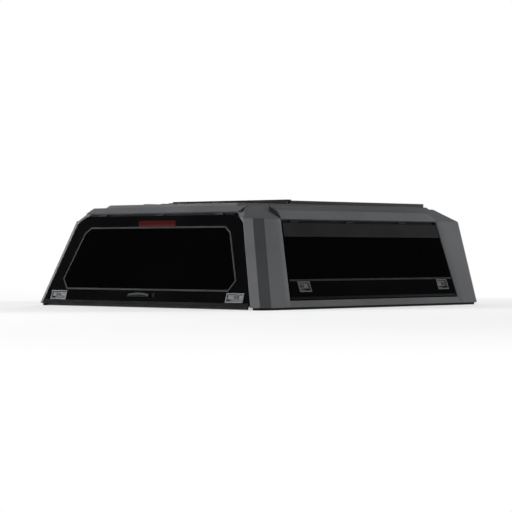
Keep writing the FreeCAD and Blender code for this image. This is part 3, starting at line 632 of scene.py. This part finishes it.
def modelArch(name, shape):
    # a flat bar bent along an arc, from its left end over to its right end
    radius = (shape["half"] ** 2 + shape["rise"] ** 2) / (2 * shape["rise"])
    sweep = 2 * math.asin(shape["half"] / radius)
    centre = (0, shape["rise"] - radius, 0)
    bpy.ops.object.select_all(action="DESELECT")
    bpy.ops.mesh.primitive_plane_add(size=1, location=(0, 0, 0))
    piece = startShaping(name)
    bpy.ops.mesh.select_all(action="SELECT")
    bpy.ops.transform.resize(value=(shape["width"], 1, shape["deep"]), center_override=(0, 0, 0))
    bpy.ops.transform.rotate(value=math.radians(90), orient_axis="X", center_override=(0, 0, 0))
    bpy.ops.transform.resize(value=(1, 1, shape["deep"]), center_override=(0, 0, 0))
    bpy.ops.transform.translate(value=(-radius, shape["rise"] - radius, 0))
    bpy.ops.mesh.spin(steps=shape["steps"], angle=sweep, center=centre, axis=(0, 0, 1))
    bpy.ops.mesh.select_all(action="SELECT")
    bpy.ops.mesh.remove_doubles(threshold=shaping["mergeWithin"])
    bpy.ops.mesh.normals_make_consistent(inside=False)
    turn = math.pi / 2 - sweep / 2
    bpy.ops.transform.rotate(value=turn, orient_axis="Z", center_override=centre)
    leaveEdit()
    rollEdges(piece, shape["deep"] * shape["roll"])
    return piece


# the lip's lighter rail black over the dark handle is a painted highlight along the arch
highlightArch = modelArch("rear_handle_highlight_lip", handleHighlightLip)
highlightArch.matrix_world = onWall("rear", handleHighlightLip["along"], handleHighlightLip["low"], handleHighlightLip["depth"])
joinPieces([highlightArch], "rear_handle_highlight_lip", "railBlack", "rear_door")
print("rear handle highlight lip made")


# Cells behind the face of the brake light
cells = {
    "count": 14, "pitch": 0.0182, "width": 0.0145, "tall": 0.0185, "deep": 0.0010, "edge": 0.0004,
    "height": 0.4172, "depth": -0.0019,
}
cellPattern = modelStrip(
    "cell_pattern", cells["width"], cells["tall"], cells["deep"], cells["edge"]
)
cellCopies = []
for number in range(cells["count"]):
    along = (number - (cells["count"] - 1) / 2) * cells["pitch"]
    place = onWall("rear", along, cells["height"], cells["depth"])
    cellCopies.append(copyTo(cellPattern, "brake_light_cells", place))
joinPieces(cellCopies, "brake_light_cells", "redLens", "rear_door")
bpy.data.objects.remove(cellPattern)
print("brake light cells made")


# Collars where the rods leave the strut tubes
struts = {
    "frameIn": 0.080, "frameDown": 0.050, "doorIn": 0.040, "doorDown": 0.240, "endGap": 0.034,
    "rear": {"height": 0.463, "depth": 0.007, "places": [-0.5, 0.5]},
    "right": {"height": 0.428, "depth": 0.012, "places": [-0.505, 0.610]},
    "left": {"height": 0.428, "depth": 0.012, "places": [-0.610, 0.505]},
}
collar = {"sides": 40, "bore": 0.0091, "wall": 0.0012, "length": 0.009, "lap": 0.002, "roll": 0.4}


def modelCollar(name):
    # a ring with rolled ends
    piece = startRound(name, collar["sides"], collar["bore"] + collar["wall"], collar["length"])
    pickFaces(piece, atEnds)
    bpy.ops.mesh.inset(thickness=collar["wall"])
    bpy.ops.mesh.bridge_edge_loops()
    bpy.ops.mesh.select_all(action="SELECT")
    bpy.ops.mesh.normals_make_consistent(inside=False)
    leaveEdit()
    rollEdges(piece, collar["wall"] * collar["roll"])
    return piece


collarPattern = modelCollar("collar_pattern")
run = Vector((0, struts["frameDown"] - struts["doorDown"], struts["frameIn"] - struts["doorIn"]))
tip = run.normalized() * (run.length - struts["endGap"] - collar["length"] - collar["lap"])
swing = run.to_track_quat("Z", "Y").to_matrix().to_4x4()
shift = Matrix.Translation(Vector((0, -struts["frameDown"], 0)) + tip) @ swing
for wall in walls:
    strut = struts[wall]
    name = wall + "_strut_collars"
    collars = []
    for along in strut["places"]:
        pin = onWall(wall, along, strut["height"], strut["depth"] + struts["frameIn"])
        collars.append(copyTo(collarPattern, name, pin @ shift))
    joinPieces(collars, name, "hingeSteel", wall + "_strut_tubes")
bpy.data.objects.remove(collarPattern)
print("strut collars made")


# Screws that hold the slotted rails to the roof
railScrews = {
    "across": 0.430, "first": -0.225, "pitch": 0.208, "count": 6, "floor": 0.534,
    "radius": 0.0040, "rise": 0.003,
}
screwPattern = modelScrew("screw_pattern", railScrews["radius"], railScrews["rise"])
screws = []
for number in range(railScrews["count"]):
    along = railScrews["first"] + number * railScrews["pitch"]
    for side in (-1, 1):
        place = Matrix.Translation((side * railScrews["across"], along, railScrews["floor"]))
        screws.append(copyTo(screwPattern, "rail_screws", place))
joinPieces(screws, "rail_screws", "hingeSteel", "shell")
bpy.data.objects.remove(screwPattern)
print("rail screws made")


# Room, lamps and camera
room = {
    "background": (1, 1, 1), "ceiling": (0.055, 0.056, 0.06), "paleTo": 0.125, "darkFrom": 0.24,
    "ambient": (0.94, 0.96, 1.0), "ambientStrength": 0.085,
    "floorColour": (0.80, 0.80, 0.80), "floorRadius": 60.0, "floorSides": 64,
    "floorClear": 1.6, "floorFade": 6.0, "floorPale": 0.5,
}


def seenDirectly(tree):
    # 1 for what the camera sees, straight, in a gloss or through a glass
    path = tree.nodes.new("ShaderNodeLightPath")
    first = tree.nodes.new("ShaderNodeMath")
    first.operation = "MAXIMUM"
    both = tree.nodes.new("ShaderNodeMath")
    both.operation = "MAXIMUM"
    tree.links.new(path.outputs["Is Camera Ray"], first.inputs[0])
    tree.links.new(path.outputs["Is Glossy Ray"], first.inputs[1])
    tree.links.new(first.outputs[0], both.inputs[0])
    tree.links.new(path.outputs["Is Transmission Ray"], both.inputs[1])
    return both.outputs[0]


def makeWorld():
    # pale all round for the camera, with an unlit ceiling above, and a weak light on the object
    world = bpy.data.worlds.new("room")
    bpy.context.scene.world = world
    world.use_nodes = True
    tree = world.node_tree
    tree.nodes.clear()
    ambient = tree.nodes.new("ShaderNodeBackground")
    ambient.inputs["Color"].default_value = (*room["ambient"], 1)
    ambient.inputs["Strength"].default_value = room["ambientStrength"]
    coords = tree.nodes.new("ShaderNodeTexCoord")
    split = tree.nodes.new("ShaderNodeSeparateXYZ")
    height = tree.nodes.new("ShaderNodeMapRange")
    height.interpolation_type = "SMOOTHSTEP"
    height.inputs["From Min"].default_value = room["paleTo"]
    height.inputs["From Max"].default_value = room["darkFrom"]
    tree.links.new(coords.outputs["Generated"], split.inputs[0])
    tree.links.new(split.outputs["Z"], height.inputs["Value"])
    shade = mixColours(tree, room["background"], room["ceiling"], height.outputs["Result"])
    backdrop = tree.nodes.new("ShaderNodeBackground")
    tree.links.new(shade, backdrop.inputs["Color"])
    mix = tree.nodes.new("ShaderNodeMixShader")
    output = tree.nodes.new("ShaderNodeOutputWorld")
    tree.links.new(seenDirectly(tree), mix.inputs[0])
    tree.links.new(ambient.outputs[0], mix.inputs[1])
    tree.links.new(backdrop.outputs[0], mix.inputs[2])
    tree.links.new(mix.outputs[0], output.inputs["Surface"])


def makeFloor():
    # a matt floor that keeps the shadow and fades into the background further out
    bpy.ops.mesh.primitive_circle_add(
        vertices=room["floorSides"], radius=room["floorRadius"], fill_type="NGON"
    )
    floor = bpy.context.object
    floor.name = "floor"
    material = bpy.data.materials.new("paleFloor")
    material.use_nodes = True
    tree = material.node_tree
    tree.nodes.clear()
    coords = tree.nodes.new("ShaderNodeTexCoord")
    length = tree.nodes.new("ShaderNodeVectorMath")
    length.operation = "LENGTH"
    fade = tree.nodes.new("ShaderNodeMapRange")
    fade.interpolation_type = "SMOOTHSTEP"
    fade.inputs["From Min"].default_value = room["floorClear"]
    fade.inputs["From Max"].default_value = room["floorFade"]
    fade.inputs["To Min"].default_value = room["floorPale"]
    share = tree.nodes.new("ShaderNodeMath")
    share.operation = "MULTIPLY"
    matt = tree.nodes.new("ShaderNodeBsdfDiffuse")
    matt.inputs["Color"].default_value = (*room["floorColour"], 1)
    far = tree.nodes.new("ShaderNodeEmission")
    far.inputs["Color"].default_value = (*room["background"], 1)
    mix = tree.nodes.new("ShaderNodeMixShader")
    output = tree.nodes.new("ShaderNodeOutputMaterial")
    tree.links.new(coords.outputs["Object"], length.inputs[0])
    tree.links.new(length.outputs["Value"], fade.inputs["Value"])
    tree.links.new(fade.outputs["Result"], share.inputs[0])
    tree.links.new(seenDirectly(tree), share.inputs[1])
    tree.links.new(share.outputs[0], mix.inputs[0])
    tree.links.new(matt.outputs[0], mix.inputs[1])
    tree.links.new(far.outputs[0], mix.inputs[2])
    tree.links.new(mix.outputs[0], output.inputs["Surface"])
    floor.data.materials.append(material)


# each lamp stands at a turn from the rear towards the right side and a climb from the floor,
# with its power in watts, and glint says whether glossy faces show it
lamps = {
    "rearKey": {
        "turn": -15.0, "climb": 8.0, "distance": 7.0, "power": 540.0, "size": 2.8, "glint": False,
    },
    "rearWide": {
        "turn": -30.0, "climb": 8.0, "distance": 14.0, "power": 3600.0, "size": 5.6, "glint": False,
    },
    "sideKey": {
        "turn": 150.0, "climb": 7.0, "distance": 14.0, "power": 5300.0, "size": 5.2, "glint": False,
    },
    "topSoft": {
        "turn": 240.0, "climb": 80.0, "distance": 7.0, "power": 48.0, "size": 4.0, "glint": True,
    },
    "leftFill": {
        "turn": 210.0, "climb": 32.0, "distance": 7.0, "power": 210.0, "size": 2.6, "glint": False,
    },
}


def makeLamp(name, settings):
    turn = math.radians(settings["turn"])
    climb = math.radians(settings["climb"])
    flat = math.cos(climb)
    direction = Vector((math.sin(turn) * flat, -math.cos(turn) * flat, math.sin(climb)))
    data = bpy.data.lights.new(name, "AREA")
    data.energy = settings["power"]
    data.size = settings["size"]
    lamp = bpy.data.objects.new(name, data)
    lamp.location = direction * settings["distance"]
    lamp.rotation_euler = direction.to_track_quat("Z", "Y").to_euler()
    lamp.visible_camera = False
    lamp.visible_glossy = settings["glint"]
    bpy.context.scene.collection.objects.link(lamp)


view = {
    "place": (7.641, -8.393, 0.281), "aim": (-0.02, -0.03, 0.262), "lens": 148.0, "sensor": 36.0,
}


def makeCamera():
    data = bpy.data.cameras.new("photoView")
    data.lens = view["lens"]
    data.sensor_width = view["sensor"]
    camera = bpy.data.objects.new("photoView", data)
    camera.location = view["place"]
    look = Vector(view["aim"]) - Vector(view["place"])
    camera.rotation_euler = look.to_track_quat("-Z", "Y").to_euler()
    bpy.context.scene.collection.objects.link(camera)
    bpy.context.scene.camera = camera


makeWorld()
makeFloor()
for lampName, lampSettings in lamps.items():
    makeLamp(lampName, lampSettings)
makeCamera()
bpy.context.scene.view_settings.view_transform = "Standard"
print("room, lamps and camera made")
